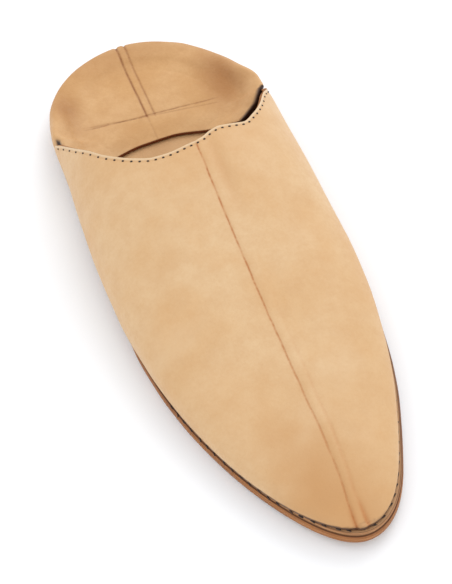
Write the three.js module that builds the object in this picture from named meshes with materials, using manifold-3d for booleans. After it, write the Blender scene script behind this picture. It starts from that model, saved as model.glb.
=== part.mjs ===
// A flat leather slip-on slipper with its heel quarter folded down, in millimetres.
// Z is up, the toe points along -Y, and the slipper stands on Z = 0.
// Lengths along the foot are written as "at": the distance forward from the heel end.
import * as THREE from "three";
import { mergeVertices } from "three/addons/utils/BufferGeometryUtils.js";
import Module from "manifold-3d";

const wasm = await Module();
wasm.setup();

// ---- driving dimensions ----
const OUTSOLE = 4; // thickness of the outsole
const MIDSOLE = 2; // thickness of the midsole, with the gap below it
const GAP = 0.3; // air between neighbouring pieces
const WALL = 2; // leather of the upper and of the heel quarter
const MARGIN = 7; // width of the upper turned in on the midsole
const INSOLE = 2; // thickness of the insole
const DECK = OUTSOLE + MIDSOLE; // top of the midsole above the ground line
const SEAM = 57; // where the -X side of the upper ends and the heel quarter begins
const SEAM_RIGHT = 61; // the same on the +X side
const QUARTER_END = 80; // how far the quarter reaches inside the upper

// Outline of the sole. Half widths to -X and to +X of the centre plane.
const SOLE = [
  { at: 4.5, left: 0, right: 0 },
  { at: 12, left: 22, right: 22 },
  { at: 23, left: 33, right: 33 },
  { at: 38, left: 39.5, right: 40 },
  { at: 60, left: 42.5, right: 44 },
  { at: 85, left: 44, right: 44 },
  { at: 110, left: 46.5, right: 45 },
  { at: 140, left: 48.4, right: 46.5 },
  { at: 165, left: 49.4, right: 46.8 },
  { at: 185, left: 47.6, right: 45.4 },
  { at: 205, left: 43.7, right: 41.9 },
  { at: 222, left: 38.6, right: 37.3 },
  { at: 238, left: 32.4, right: 31.2 },
  { at: 250, left: 26.6, right: 26 },
  { at: 261, left: 20.2, right: 20.6 },
  { at: 270.5, left: 12.9, right: 13.8 },
  { at: 277.5, left: 0, right: 0 },
];

// Widest outline of the upper and the quarter, seen from above.
const BODY = [
  { at: 3, left: 0, right: 0 },
  { at: 10, left: 24, right: 22 },
  { at: 21, left: 36.8, right: 34.6 },
  { at: 35, left: 44.2, right: 44 },
  { at: 54, left: 47.6, right: 49 },
  { at: 77, left: 48.4, right: 48.6 },
  { at: 100, left: 50.2, right: 47.8 },
  { at: 130, left: 51.7, right: 47.2 },
  { at: 155, left: 51.5, right: 46.8 },
  { at: 178, left: 49.2, right: 44.8 },
  { at: 200, left: 45.3, right: 40.9 },
  { at: 220, left: 39.7, right: 35.8 },
  { at: 238, left: 32.9, right: 29.2 },
  { at: 250, left: 27, right: 24 },
  { at: 260, left: 20.9, right: 18.9 },
  { at: 269, left: 13.2, right: 12.4 },
  { at: 275.6, left: 0, right: 0 },
];

// Height of the ridge over the foot.
const RIDGE = [
  { at: 0, top: 48 },
  { at: 95, top: 48.5 },
  { at: 112, top: 47.5 },
  { at: 137, top: 42.5 },
  { at: 160, top: 36.5 },
  { at: 181, top: 30.8 },
  { at: 205, top: 25 },
  { at: 224, top: 20.8 },
  { at: 246, top: 17 },
  { at: 262, top: 14.1 },
  { at: 271, top: 12.3 },
  { at: 275.6, top: 11 },
];

// Edge of the collar seen from above, from the -X seam over the instep to the +X seam.
const COLLAR = [
  { x: -47.7, at: 57 },
  { x: -46.8, at: 63 },
  { x: -43.3, at: 75.5 },
  { x: -38.2, at: 87 },
  { x: -34.8, at: 94 },
  { x: -30.9, at: 99.8 },
  { x: -25, at: 106 },
  { x: -17.7, at: 110.2 },
  { x: -10.8, at: 111 },
  { x: -4.2, at: 110.3 },
  { x: 2.4, at: 109.2 },
  { x: 7.7, at: 106.5 },
  { x: 12.5, at: 105.3 },
  { x: 18.9, at: 105.3 },
  { x: 22, at: 105.2 },
  { x: 28.5, at: 100 },
  { x: 35.3, at: 91 },
  { x: 40.7, at: 81 },
  { x: 44.6, at: 74.5 },
  { x: 47, at: 69 },
  { x: 48.2, at: 64.5 },
  { x: 48.8, at: 61 },
];

// Free edge of the folded quarter, lying on the insole.
const FLAP = [
  { x: -60, at: QUARTER_END },
  { x: -38, at: 77 },
  { x: -25, at: 70 },
  { x: -11, at: 67 },
  { x: 2, at: 66.6 },
  { x: 16, at: 69.6 },
  { x: 36, at: 77 },
  { x: 60, at: QUARTER_END },
];

// Skins of the heel quarter: how far in from the outline, how high above the deck.
const QUARTER_OUT = [
  { inset: 3.8, z: 0 },
  { inset: 1.7, z: 1.6 },
  { inset: 0.5, z: 3.6 },
  { inset: 0, z: 5.2 },
  { inset: 0.5, z: 6.8 },
  { inset: 1.9, z: 8.1 },
  { inset: 3.9, z: 8.6 },
  { inset: 6.4, z: 8.1 },
  { inset: 9.4, z: 6.7 },
  { inset: 13, z: 5.3 },
  { inset: 18, z: 4.4 },
];
const QUARTER_IN = [
  { inset: 12, z: 1 },
  { inset: 7.5, z: INSOLE },
  { inset: 3.3, z: INSOLE },
  { inset: 2.5, z: 3.6 },
  { inset: 2.1, z: 5.2 },
  { inset: 2.5, z: 6.1 },
  { inset: 3.9, z: 6.6 },
  { inset: 5.8, z: 6.1 },
  { inset: 8.4, z: 4.8 },
  { inset: 12, z: 3.3 },
  { inset: 17, z: INSOLE + GAP },
];

// ---- curves ----
const smooth = (a, b, v) => THREE.MathUtils.smoothstep(v, a, b);

// Monotone cubic through the rows of a short table, so that no bulge is added between them.
function through(xs, ys, x) {
  const n = xs.length;
  const h = xs.slice(1).map((v, i) => v - xs[i]);
  const d = ys.slice(1).map((v, i) => (v - ys[i]) / h[i]);
  const slope = (i) => {
    if (i === 0) return d[0];
    if (i === n - 1) return d[n - 2];
    if (d[i - 1] * d[i] <= 0) return 0;
    const a = 2 * h[i] + h[i - 1];
    const b = h[i] + 2 * h[i - 1];
    return (a + b) / (a / d[i - 1] + b / d[i]);
  };
  let i = 0;
  while (i < n - 2 && x > xs[i + 1]) i += 1;
  const t = THREE.MathUtils.clamp((x - xs[i]) / h[i], 0, 1);
  const u = 1 - t;
  return (
    ys[i] * (1 + 2 * t) * u * u +
    slope(i) * h[i] * t * u * u +
    ys[i + 1] * t * t * (3 - 2 * t) +
    slope(i + 1) * h[i] * t * t * (t - 1)
  );
}

// Half width of an outline. Stations are spaced as angles, so both ends come out round.
function halfWidth(table, side, at) {
  const first = table[0].at;
  const span = table[table.length - 1].at - first;
  const angle = (v) => Math.acos(THREE.MathUtils.clamp(1 - (2 * (v - first)) / span, -1, 1));
  return through(table.map((r) => angle(r.at)), table.map((r) => r[side]), angle(at));
}

// Half width measured inward by a distance square to the outline.
function inside(table, side, at, inset) {
  const e = 0.25;
  const first = table[0].at + e;
  const last = table[table.length - 1].at - e;
  const v = THREE.MathUtils.clamp(at, first, last);
  const rate = (halfWidth(table, side, v + e) - halfWidth(table, side, v - e)) / (2 * e);
  return Math.max(halfWidth(table, side, at) - inset * Math.hypot(1, rate), 0.4);
}

const ridge = (at) => through(RIDGE.map((r) => r.at), RIDGE.map((r) => r.top), at);

// The ground line under the sole: flat heel, slight arch, flat tread, small toe spring.
function ground(at) {
  const arch = at > 85 && at < 147 ? 1.2 * Math.sin((Math.PI * (at - 85)) / 62) ** 2 : 0;
  const spring = at > 212 ? 3.2 * ((at - 212) / 64) ** 2 : 0;
  return arch + spring;
}

// Height of the widest line of the upper above the deck, and the squareness of its arch.
const rise = (at) => 5.5 - 3.9 * smooth(170, 265, at);
const power = (at) => 2.2 + 0.25 * smooth(150, 260, at);
// How far the foot of the wall stands inside the widest line.
const tuck = (at) => 4.2 - 3.4 * smooth(110, 190, at);

// ---- solids ----
const place = (x, at, z) => new THREE.Vector3(x, -at, z);

// Stations from one end to the other, closer together towards the ends.
function stations(from, to, count) {
  const half = (to - from) / 2;
  return Array.from({ length: count + 1 }, (_, i) => from + half * (1 - Math.cos((Math.PI * i) / count)));
}

// Closed surface through rings of equal length, each end closed by a fan.
function loft(rings) {
  const m = rings[0].length;
  const points = rings.flat();
  const faces = [];
  for (let i = 0; i < rings.length - 1; i += 1) {
    for (let j = 0; j < m; j += 1) {
      const a = i * m + j;
      const b = i * m + ((j + 1) % m);
      faces.push(a, b, a + m, b, b + m, a + m);
    }
  }
  const middle = (ring) => ring.reduce((s, p) => s.add(p), new THREE.Vector3()).divideScalar(m);
  const start = points.push(middle(rings[0])) - 1;
  const end = points.push(middle(rings[rings.length - 1])) - 1;
  const last = (rings.length - 1) * m;
  for (let j = 0; j < m; j += 1) {
    const k = (j + 1) % m;
    faces.push(start, k, j, end, last + j, last + k);
  }
  return solid(new THREE.BufferGeometry().setFromPoints(points).setIndex(faces));
}

// A three.js geometry as a solid, turned the right way out.
function solid(geometry) {
  const plain = geometry.index ? geometry.toNonIndexed() : geometry;
  const bare = new THREE.BufferGeometry().setAttribute("position", plain.getAttribute("position"));
  const merged = mergeVertices(bare, 1e-4);
  const make = (flip) => {
    const triVerts = new Uint32Array(merged.index.array);
    for (let i = 0; flip && i < triVerts.length; i += 3) {
      [triVerts[i], triVerts[i + 1]] = [triVerts[i + 1], triVerts[i]];
    }
    const vertProperties = new Float32Array(merged.attributes.position.array);
    return new wasm.Manifold(new wasm.Mesh({ numProp: 3, vertProperties, triVerts }));
  };
  const made = make(false);
  return made.volume() < 0 ? make(true) : made;
}

// A flat-edged layer of leather that follows the ground line, with eased corners.
function layer(table, inset, low, high, ease, from, to, count) {
  const rings = stations(from, to, count).map((at) => {
    const l = inside(table, "left", at, inset);
    const r = inside(table, "right", at, inset);
    const e = Math.min(ease, l / 3, r / 3);
    const g = ground(at);
    return [
      place(-l + e, at, g + low),
      place(0, at, g + low),
      place(r - e, at, g + low),
      place(r, at, g + low + e),
      place(r, at, g + high - e),
      place(r - e, at, g + high),
      place(0, at, g + high),
      place(-l + e, at, g + high),
      place(-l, at, g + high - e),
      place(-l, at, g + low + e),
    ];
  });
  return loft(rings);
}

// The last as the upper sees it: an arch over a tucked-in wall, thinner by "skin" all round.
const ARCH_STEPS = 30;
function last(skin, from, to, count) {
  const rings = stations(from, to, count).map((at) => {
    const g = ground(at) + DECK + GAP;
    const wide = g + rise(at);
    const e = 0.5;
    const fall = (ridge(at + e) - ridge(at - e)) / (2 * e);
    const top = Math.max(ridge(at) - skin * Math.hypot(1, fall), wide + 0.5);
    const foot = g + skin;
    const width = { left: inside(BODY, "left", at, skin), right: inside(BODY, "right", at, skin) };
    const ring = [];
    for (let k = 0; k <= ARCH_STEPS; k += 1) {
      const t = (Math.PI * k) / ARCH_STEPS;
      const q = 2 / power(at);
      const c = Math.cos(t);
      const w = c < 0 ? width.left : width.right;
      const x = Math.sign(c) * Math.abs(c) ** q * w;
      ring.push(place(x, at, wide + (top - wide) * Math.sin(t) ** q));
    }
    for (const [side, sign] of [["left", -1], ["right", 1]]) {
      const w = width[side];
      const inward = Math.min(tuck(at), w / 3);
      const wall = [];
      for (const u of [0.35, 0.7, 1]) {
        const a = (Math.PI / 2) * u;
        wall.push(place(sign * (w - inward * (1 - Math.cos(a))), at, wide - (wide - foot) * Math.sin(a)));
      }
      if (sign > 0) wall.reverse();
      ring.push(...wall);
    }
    return ring;
  });
  return loft(rings);
}

// An upright block over an area given by corners in x and at.
function block(corners, low, high) {
  const shape = new THREE.Shape(corners.map(([x, at]) => new THREE.Vector2(x, -at)));
  const made = new THREE.ExtrudeGeometry(shape, { depth: high - low, bevelEnabled: false, steps: 1 });
  return solid(made.translate(0, 0, low));
}

// A smooth line through the rows of a table of x and at.
function line(rows, count) {
  const xs = rows.map((r) => r.x);
  const ats = rows.map((r) => r.at);
  const from = xs[0];
  const span = xs[xs.length - 1] - from;
  return Array.from({ length: count + 1 }, (_, i) => {
    const x = from + (span * i) / count;
    return [x, through(xs, ats, x)];
  });
}

// The low heel body as rings shrinking towards its middle, closed on top and underneath.
const HEEL_MIDDLE = 60;
function heelBody(profile, count) {
  const outline = [];
  for (let i = 0; i < count; i += 1) {
    const t = (2 * Math.PI * i) / count;
    const side = Math.sin(t) > 0 ? "right" : "left";
    // The rear half follows the outline; the front half only closes the ring.
    const at = Math.cos(t) > 0 ? 100 - 97 * Math.cos(t) : 100 + 45 * -Math.cos(t);
    const w = Math.cos(t) > 0 ? halfWidth(BODY, side, at) : 49.6 * Math.abs(Math.sin(t));
    const tucked = side === "left" ? 2.5 * smooth(46, SEAM - 1, at) : 5 * smooth(53, SEAM_RIGHT - 0.5, at);
    outline.push({ x: Math.sign(Math.sin(t)) * Math.max(w - tucked, 0), at });
  }
  const ring = (inset, z) =>
    outline.map((p) => {
      const dx = p.x;
      const dy = p.at - HEEL_MIDDLE;
      const r = Math.hypot(dx, dy);
      const k = (r - inset) / r;
      const at = HEEL_MIDDLE + dy * k;
      const lift = smooth(6, 9, z) * 3.5 * smooth(15, 58, p.at);
      return place(dx * k, at, ground(at) + DECK + GAP + z + lift);
    });
  const rings = profile.map((r) => ring(r.inset, r.z));
  return loft(rings);
}

// ---- the pieces ----
const outsole = layer(SOLE, 0, 0, OUTSOLE, 0.7, 4.55, 277.45, 56);
const midsole = layer(SOLE, 0.6, OUTSOLE + GAP, DECK, 0.3, 5.2, 276.8, 50);

const marginCut = layer(BODY, tuck(0) + MARGIN - 1, DECK - 3, DECK + GAP + INSOLE + 0.1, 0, 14, 264, 44);
const insole = layer(BODY, tuck(0) + MARGIN - 1 + GAP, DECK + GAP, DECK + GAP + INSOLE, 0.2, 14.5, 263.5, 44);

const collarLine = line(COLLAR, 40);
const collarCut = block([[-80, -20], [-80, SEAM], ...collarLine, [80, SEAM_RIGHT], [80, -20]], -10, 90);
const upper = last(0, 30, 275.5, 38)
  .subtract(last(WALL, 28, 273, 36))
  .subtract(marginCut)
  .subtract(collarCut);

const flapLine = line(FLAP, 24);
const flapCut = block([...flapLine, [80, 200], [-80, 200]], -10, 90);
const underUpper = block([[-80, SEAM - 0.4], [80, SEAM - 0.4], [80, 120], [-80, 120]], -10, DECK + GAP + 3.8);
const quarter = heelBody(QUARTER_OUT, 72)
  .subtract(heelBody(QUARTER_IN, 72))
  .subtract(marginCut)
  .subtract(underUpper)
  .subtract(flapCut);

// ---- meshes ----
function mesh(name, body, color) {
  const made = body.getMesh();
  const geometry = new THREE.BufferGeometry();
  geometry.setAttribute("position", new THREE.BufferAttribute(new Float32Array(made.vertProperties), 3));
  geometry.setIndex(new THREE.BufferAttribute(new Uint32Array(made.triVerts), 1));
  const result = new THREE.Mesh(geometry, new THREE.MeshStandardMaterial({ color, roughness: 0.7 }));
  result.name = name;
  return result;
}

const slipper = new THREE.Group();
slipper.name = "slipper";
slipper.add(
  mesh("outsole", outsole, 0x8a5a34),
  mesh("midsole", midsole, 0xc79a78),
  mesh("insole", insole, 0xe0bf94),
  mesh("upper", upper, 0xd9ab78),
  mesh("heel_quarter", quarter, 0xc9935e),
);

// The origin is the middle of the bottom of the whole slipper.
const box = new THREE.Box3().setFromObject(slipper);
const centre = box.getCenter(new THREE.Vector3());
for (const piece of slipper.children) piece.geometry.translate(-centre.x, -centre.y, -box.min.z);

export default slipper;
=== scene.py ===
# %% [markdown]
# # A leather slip-on slipper
# This lesson dresses a plain, measured model of a flat leather slipper: a soft upper with a
# pressed crease, a heel quarter trodden down flat, a light insole and a two-layer sole.
# The measured model gives every size. Each visible piece is then a surface worked out with
# numpy, which keeps its shape exact and lets a crease or a seam be placed in millimetres.

import bpy
import numpy as np
from mathutils import Matrix, Vector


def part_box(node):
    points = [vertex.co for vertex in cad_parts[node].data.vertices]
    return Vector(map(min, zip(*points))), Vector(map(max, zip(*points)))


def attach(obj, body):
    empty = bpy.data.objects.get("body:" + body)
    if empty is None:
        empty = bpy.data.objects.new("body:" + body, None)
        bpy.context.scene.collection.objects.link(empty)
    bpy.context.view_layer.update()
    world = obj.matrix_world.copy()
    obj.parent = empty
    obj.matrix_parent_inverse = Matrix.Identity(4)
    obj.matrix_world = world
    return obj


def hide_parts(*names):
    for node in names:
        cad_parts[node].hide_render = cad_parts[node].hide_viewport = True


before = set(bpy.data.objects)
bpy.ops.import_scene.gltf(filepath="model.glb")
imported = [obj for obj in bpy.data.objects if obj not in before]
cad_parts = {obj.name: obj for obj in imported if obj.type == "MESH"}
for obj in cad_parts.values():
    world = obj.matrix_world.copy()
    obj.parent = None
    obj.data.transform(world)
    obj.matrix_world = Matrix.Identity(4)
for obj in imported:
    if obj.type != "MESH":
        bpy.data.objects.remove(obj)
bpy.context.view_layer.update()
print("nodes", sorted(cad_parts))

# %% [markdown]
# ## Where things are
# A shoemaker measures along the foot, so every place here is written as (x, at, z) in
# millimetres: x to the side of the centre plane, "at" forward from the heel, z above the floor.
# The boxes of two measured pieces tie that to Blender's metres. Sizes written this way can be
# checked against a real shoe.

# %% Millimetres along the foot
MM = 0.001
WIDEST_LEFT = 51.7  # the upper's greatest half width, to -X
HEEL_END = 3.0  # where the quarter's heel stands along the foot
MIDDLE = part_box("upper")[0][0] / MM + WIDEST_LEFT
HEEL_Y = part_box("heel_quarter")[1][1] / MM + HEEL_END


def place(x, at, z):
    """Foot coordinates in millimetres to Blender coordinates in millimetres, as (..., 3)."""
    x, at, z = np.broadcast_arrays(x, at, z)
    return np.stack([x + MIDDLE, HEEL_Y - at, z], -1).astype(float)


print("centre plane at", round(MIDDLE, 2), "mm, heel at", round(HEEL_Y, 2), "mm")

# %% [markdown]
# ## Smooth tables
# A last, the wooden form a shoe is made on, is drawn as a fair curve through a few sections. A
# cubic that never overshoots joins the rows of a short table in the same way, with no bulges.
# Half widths are read against an angle instead of a length, because equal steps of angle crowd
# towards the toe and heel and make both ends round.

# %% A fair curve through the rows of a table
def rows(names, *lines):
    """A table as a dictionary of columns."""
    return dict(zip(names.split(), np.array(lines, float).T))


def through(xs, ys, x):
    """Monotone cubic: slopes are weighted harmonic means of the neighbouring chords."""
    x = np.asarray(x, float)
    step = np.diff(xs)
    chord = np.diff(ys) / step
    before, after = 2 * step[1:] + step[:-1], step[1:] + 2 * step[:-1]
    same_way = chord[1:] * chord[:-1] > 0
    safe_a = np.where(same_way, chord[:-1], 1)
    safe_b = np.where(same_way, chord[1:], 1)
    inner = np.where(same_way, (before + after) / (before / safe_a + after / safe_b), 0)
    slope = np.concatenate([chord[:1], inner, chord[-1:]])
    i = np.clip(np.searchsorted(xs, x, side="right") - 1, 0, len(xs) - 2)
    t = np.clip((x - xs[i]) / step[i], 0, 1)
    u = 1 - t
    ends = ys[i] * (1 + 2 * t) * u * u + ys[i + 1] * t * t * (3 - 2 * t)
    return ends + step[i] * t * u * (slope[i] * u - slope[i + 1] * t)


def smooth(low, high, v):
    """0 below low, 1 above high, an S-shaped cubic between."""
    t = np.clip((v - low) / (high - low), 0, 1)
    return t * t * (3 - 2 * t)


def bell(v, width):
    """1 at v = 0, falling to nothing over about two widths on either side."""
    return np.exp(-((v / width) ** 2))


print("halfway up a smooth step:", smooth(0, 2, 1.0))

# %% [markdown]
# ## The form of the foot
# These are the same sections as the measured model's: the sole's outline, the widest line of
# the leather seen from above, and the ridge over the foot. A babouche of this kind is made
# almost straight, so the left and right half widths differ by only a few millimetres.

# %% Outlines, ridge and ground line
SOLE = rows(
    "at left right",
    (4.5, 0, 0), (12, 22, 22), (23, 33, 33), (38, 39.5, 40), (60, 42.5, 44), (85, 44, 44),
    (110, 46.5, 45), (140, 48.4, 46.5), (165, 49.4, 46.8), (185, 47.6, 45.4), (205, 43.7, 41.9),
    (222, 38.6, 37.3), (238, 32.4, 31.2), (250, 26.6, 26), (261, 20.2, 20.6),
    (270.5, 12.9, 13.8), (277.5, 0, 0),
)
BODY = rows(
    "at left right",
    (HEEL_END, 0, 0), (10, 24, 22), (21, 36.8, 34.6), (35, 44.2, 44), (54, 47.6, 49),
    (77, 48.4, 48.6), (100, 50.2, 47.8), (130, WIDEST_LEFT, 47.2), (155, 51.5, 46.8),
    (178, 49.2, 44.8), (200, 45.3, 40.9), (220, 39.7, 35.8), (238, 32.9, 29.2), (250, 27, 24),
    (260, 20.9, 18.9), (269, 13.2, 12.4), (275.6, 0, 0),
)
RIDGE = rows(
    "at top",
    (0, 48), (95, 48.5), (112, 47.5), (137, 42.5), (160, 36.5), (181, 30.8), (205, 25),
    (224, 20.8), (246, 17), (262, 14.1), (271, 12.3), (275.6, 11),
)
DECK = 6.0  # top of the midsole above the ground line
GAP = 0.3  # air between neighbouring layers
TOE = BODY["at"][-1]
ARCH_FROM, ARCH_TO, ARCH_RISE = 85, 147, 1.2  # where the sole lifts under the arch of the foot
SPRING_FROM, SPRING_RUN, SPRING_RISE = 212, 64, 3.2  # and where it lifts towards the toe


def half_width(table, x_side, at):
    """Half width of an outline at a station; x_side below 0 reads the left column."""
    first, last = table["at"][0], table["at"][-1]

    def angle(v):
        return np.arccos(np.clip(1 - 2 * (v - first) / (last - first), -1, 1))

    known, asked = angle(table["at"]), angle(np.asarray(at, float))
    left = through(known, table["left"], asked)
    right = through(known, table["right"], asked)
    return np.where(x_side < 0, left, right)


def ground(at):
    """Underside of the sole: flat heel, a slight arch, flat tread, a small toe spring."""
    swing = np.sin(np.pi * (at - ARCH_FROM) / (ARCH_TO - ARCH_FROM))
    arch = np.where((at > ARCH_FROM) & (at < ARCH_TO), ARCH_RISE * swing**2, 0)
    return arch + SPRING_RISE * (np.clip(at - SPRING_FROM, 0, None) / SPRING_RUN) ** 2


def ridge(at):
    return through(RIDGE["at"], RIDGE["top"], at)


print("overall length", SOLE["at"][-1] - HEEL_END, "mm")

# %% [markdown]
# ## From a grid to a mesh
# numpy hands over whole arrays: a block of points and a block of four-cornered faces. Where two
# edges of a grid meet, as at a toe or along a centre line, the points are welded, so that the
# surface is truly closed and shades without a seam. A leather piece is a sheet with a
# thickness: the same grid is set in along its normals and the open edges are joined.

# %% Grids, normals and shells
def grid_faces(rows_n, columns_n, start=0, flip=False):
    """Four corner numbers for every cell of a grid of points."""
    i = np.arange(rows_n - 1)[:, None] * columns_n + start
    j = np.arange(columns_n - 1)[None, :]
    corners = [i + j, i + columns_n + j, i + columns_n + j + 1, i + j + 1]
    quads = np.stack(np.broadcast_arrays(*corners), -1).reshape(-1, 4)
    return quads[:, ::-1] if flip else quads


def unit(v):
    return v / np.maximum(np.linalg.norm(v, axis=-1, keepdims=True), 1e-9)


def grid_normals(points, folded=()):
    """Cross product of the two grid directions, of unit length.

    A folded end row closes on itself: its neighbour beyond is the row before it, reversed.
    """
    before = points[1:2, ::-1] if "first" in folded else 2 * points[:1] - points[1:2]
    after = points[-2:-1, ::-1] if "last" in folded else 2 * points[-1:] - points[-2:-1]
    padded = np.concatenate([before, points, after])
    along = (padded[2:] - padded[:-2]) / 2
    normal = np.cross(along, np.gradient(points, axis=1))
    size = np.linalg.norm(normal, axis=-1, keepdims=True)
    return np.where(size > 1e-7, normal / np.maximum(size, 1e-9), [0, 0, 1])


def rounded_edge(outer_line, inner_line, outward, steps=4, fullness=0.25):
    """A half-round lip between two lines: rows of points swinging out by half the thickness."""
    swing = np.linspace(0, np.pi, steps + 1)[:, None, None]
    middle = (outer_line + inner_line) / 2
    half = (outer_line - inner_line) / 2
    reach = np.linalg.norm(half, axis=-1, keepdims=True) * fullness
    return middle + half * np.cos(swing) + outward * reach * np.sin(swing)


def shell(outer, inner, open_edges, rims=None):
    """Joins two grids of one shape along the open edges named: first, last, start, end.

    first and last are the rows at either end, start and end the columns. An edge in rims
    gets a half-round lip, swinging out along the vectors given for it. Returns points,
    quads, the kind of each quad (0 outside, 1 inside, 2 edge) and, for each point, the
    number of the outer grid point that it belongs to.
    """
    n, m = outer.shape[:2]
    number = np.arange(n * m).reshape(n, m)
    points = [outer.reshape(-1, 3), inner.reshape(-1, 3)]
    owner = [number.reshape(-1), number.reshape(-1)]
    parts = [grid_faces(n, m), grid_faces(n, m, n * m, flip=True)]
    kinds = [np.zeros(len(parts[0]), int), np.ones(len(parts[1]), int)]
    total = 2 * n * m
    lines = {"first": number[0], "last": number[-1][::-1], "start": number[::-1, 0], "end": number[:, -1]}
    for edge in open_edges:
        line = lines[edge]
        outward = (rims or {}).get(edge, np.zeros((n, m, 3))).reshape(-1, 3)[line].copy()
        outward[[0, -1]] = 0
        lip = rounded_edge(points[0][line], points[1][line], outward)
        # Rows run from the inside to the outside, so that the lip faces away from the sheet.
        parts.append(grid_faces(len(lip), len(line), total, flip=True))
        kinds.append(np.full(len(parts[-1]), 2))
        points.append(lip.reshape(-1, 3))
        owner.append(np.tile(line, len(lip)))
        total += lip.shape[0] * len(line)
    return np.concatenate(points), np.concatenate(parts), np.concatenate(kinds), np.concatenate(owner)


# %% [markdown]
# A finished piece needs its faces, a material, UV maps that carry millimetres instead of an
# image's 0 to 1, and its place in the frame: what body it rides on and which plain node of the
# measured model it stands for.

# %% Make a piece
def add(name, data):
    """Puts a new object into the scene."""
    made = bpy.data.objects.new(name, data)
    bpy.context.collection.objects.link(made)
    return made


def piece(name, points, quads, finishes, slot, node=None, kinds=None, maps=None):
    """Welds coincident points, drops collapsed faces and builds the object."""
    keys = np.round(points * 5000).astype(np.int64)
    _, first, weld = np.unique(keys, axis=0, return_index=True, return_inverse=True)
    weld = weld.reshape(-1)
    welded = weld[quads]
    doubled = welded == np.roll(welded, -1, axis=1)
    whole = doubled.sum(1) == 0
    once = doubled.sum(1) == 1
    tris = quads[once][~doubled[once]].reshape(-1, 3)
    corner_numbers = np.concatenate([quads[whole].reshape(-1), tris.reshape(-1)])
    counts = np.concatenate([np.full(whole.sum(), 4), np.full(len(tris), 3)])
    mesh = bpy.data.meshes.new(name)
    mesh.vertices.add(len(first))
    mesh.vertices.foreach_set("co", (points[first] * MM).reshape(-1))
    mesh.loops.add(len(corner_numbers))
    mesh.loops.foreach_set("vertex_index", weld[corner_numbers])
    mesh.polygons.add(len(counts))
    mesh.polygons.foreach_set("loop_start", np.concatenate([[0], np.cumsum(counts)[:-1]]))
    mesh.polygons.foreach_set("loop_total", counts)
    for finish in finishes:
        mesh.materials.append(finish)
    if kinds is not None:
        mesh.polygons.foreach_set("material_index", np.concatenate([kinds[whole], kinds[once]]))
    mesh.polygons.foreach_set("use_smooth", np.ones(len(counts), bool))
    mesh.update(calc_edges=True)
    mesh.validate()
    for map_name, values in (maps or {}).items():
        layer = mesh.uv_layers.new(name=map_name)
        layer.data.foreach_set("uv", values.reshape(-1, 2)[corner_numbers].reshape(-1))
    made = add(name, mesh)
    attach(made, "root")
    if node:
        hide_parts(node)
    print(name, len(first), "points,", len(counts), "faces")


# %% [markdown]
# ## Shader maths in plain Python
# Node trees for leather grain are long sums of noises. Wrapping a socket in a small class with
# the usual operators lets them be read as formulas: each + or * adds its own Math node. Colours
# must not pass through a Math node, which turns them grey, so they are blended by a Mix node.

# %% The wire and the finish
class Wire:
    """A number or vector leaving a node; arithmetic on it adds Math nodes."""

    def __init__(self, finish, socket):
        self.finish = finish
        self.socket = socket

    def math(self, operation, *values):
        inputs = dict(enumerate(values))
        return self.finish.node("ShaderNodeMath", {"operation": operation}, inputs)

    def __add__(self, other):
        return self.math("ADD", self, other)

    def __sub__(self, other):
        return self.math("SUBTRACT", self, other)

    def __rsub__(self, other):
        return self.math("SUBTRACT", other, self)

    def __mul__(self, other):
        return self.math("MULTIPLY", self, other)

    def __truediv__(self, other):
        return self.math("DIVIDE", self, other)

    __radd__ = __add__
    __rmul__ = __mul__

    def size(self):
        return self.math("ABSOLUTE", self)

    def clamp(self):
        return self.math("MINIMUM", self.math("MAXIMUM", self, 0.0), 1.0)

    def bell(self, width):
        """1 where the value is 0, fading out over about two widths."""
        scaled = self / width
        return self.math("EXPONENT", scaled * scaled * -1.0)

    def step(self, low, high):
        """0 at low, 1 at high, smooth between; high may be the lower number."""
        settings = {"interpolation_type": "SMOOTHSTEP"}
        sockets = {"Value": self, "From Min": low, "From Max": high}
        return self.finish.node("ShaderNodeMapRange", settings, sockets)


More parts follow.
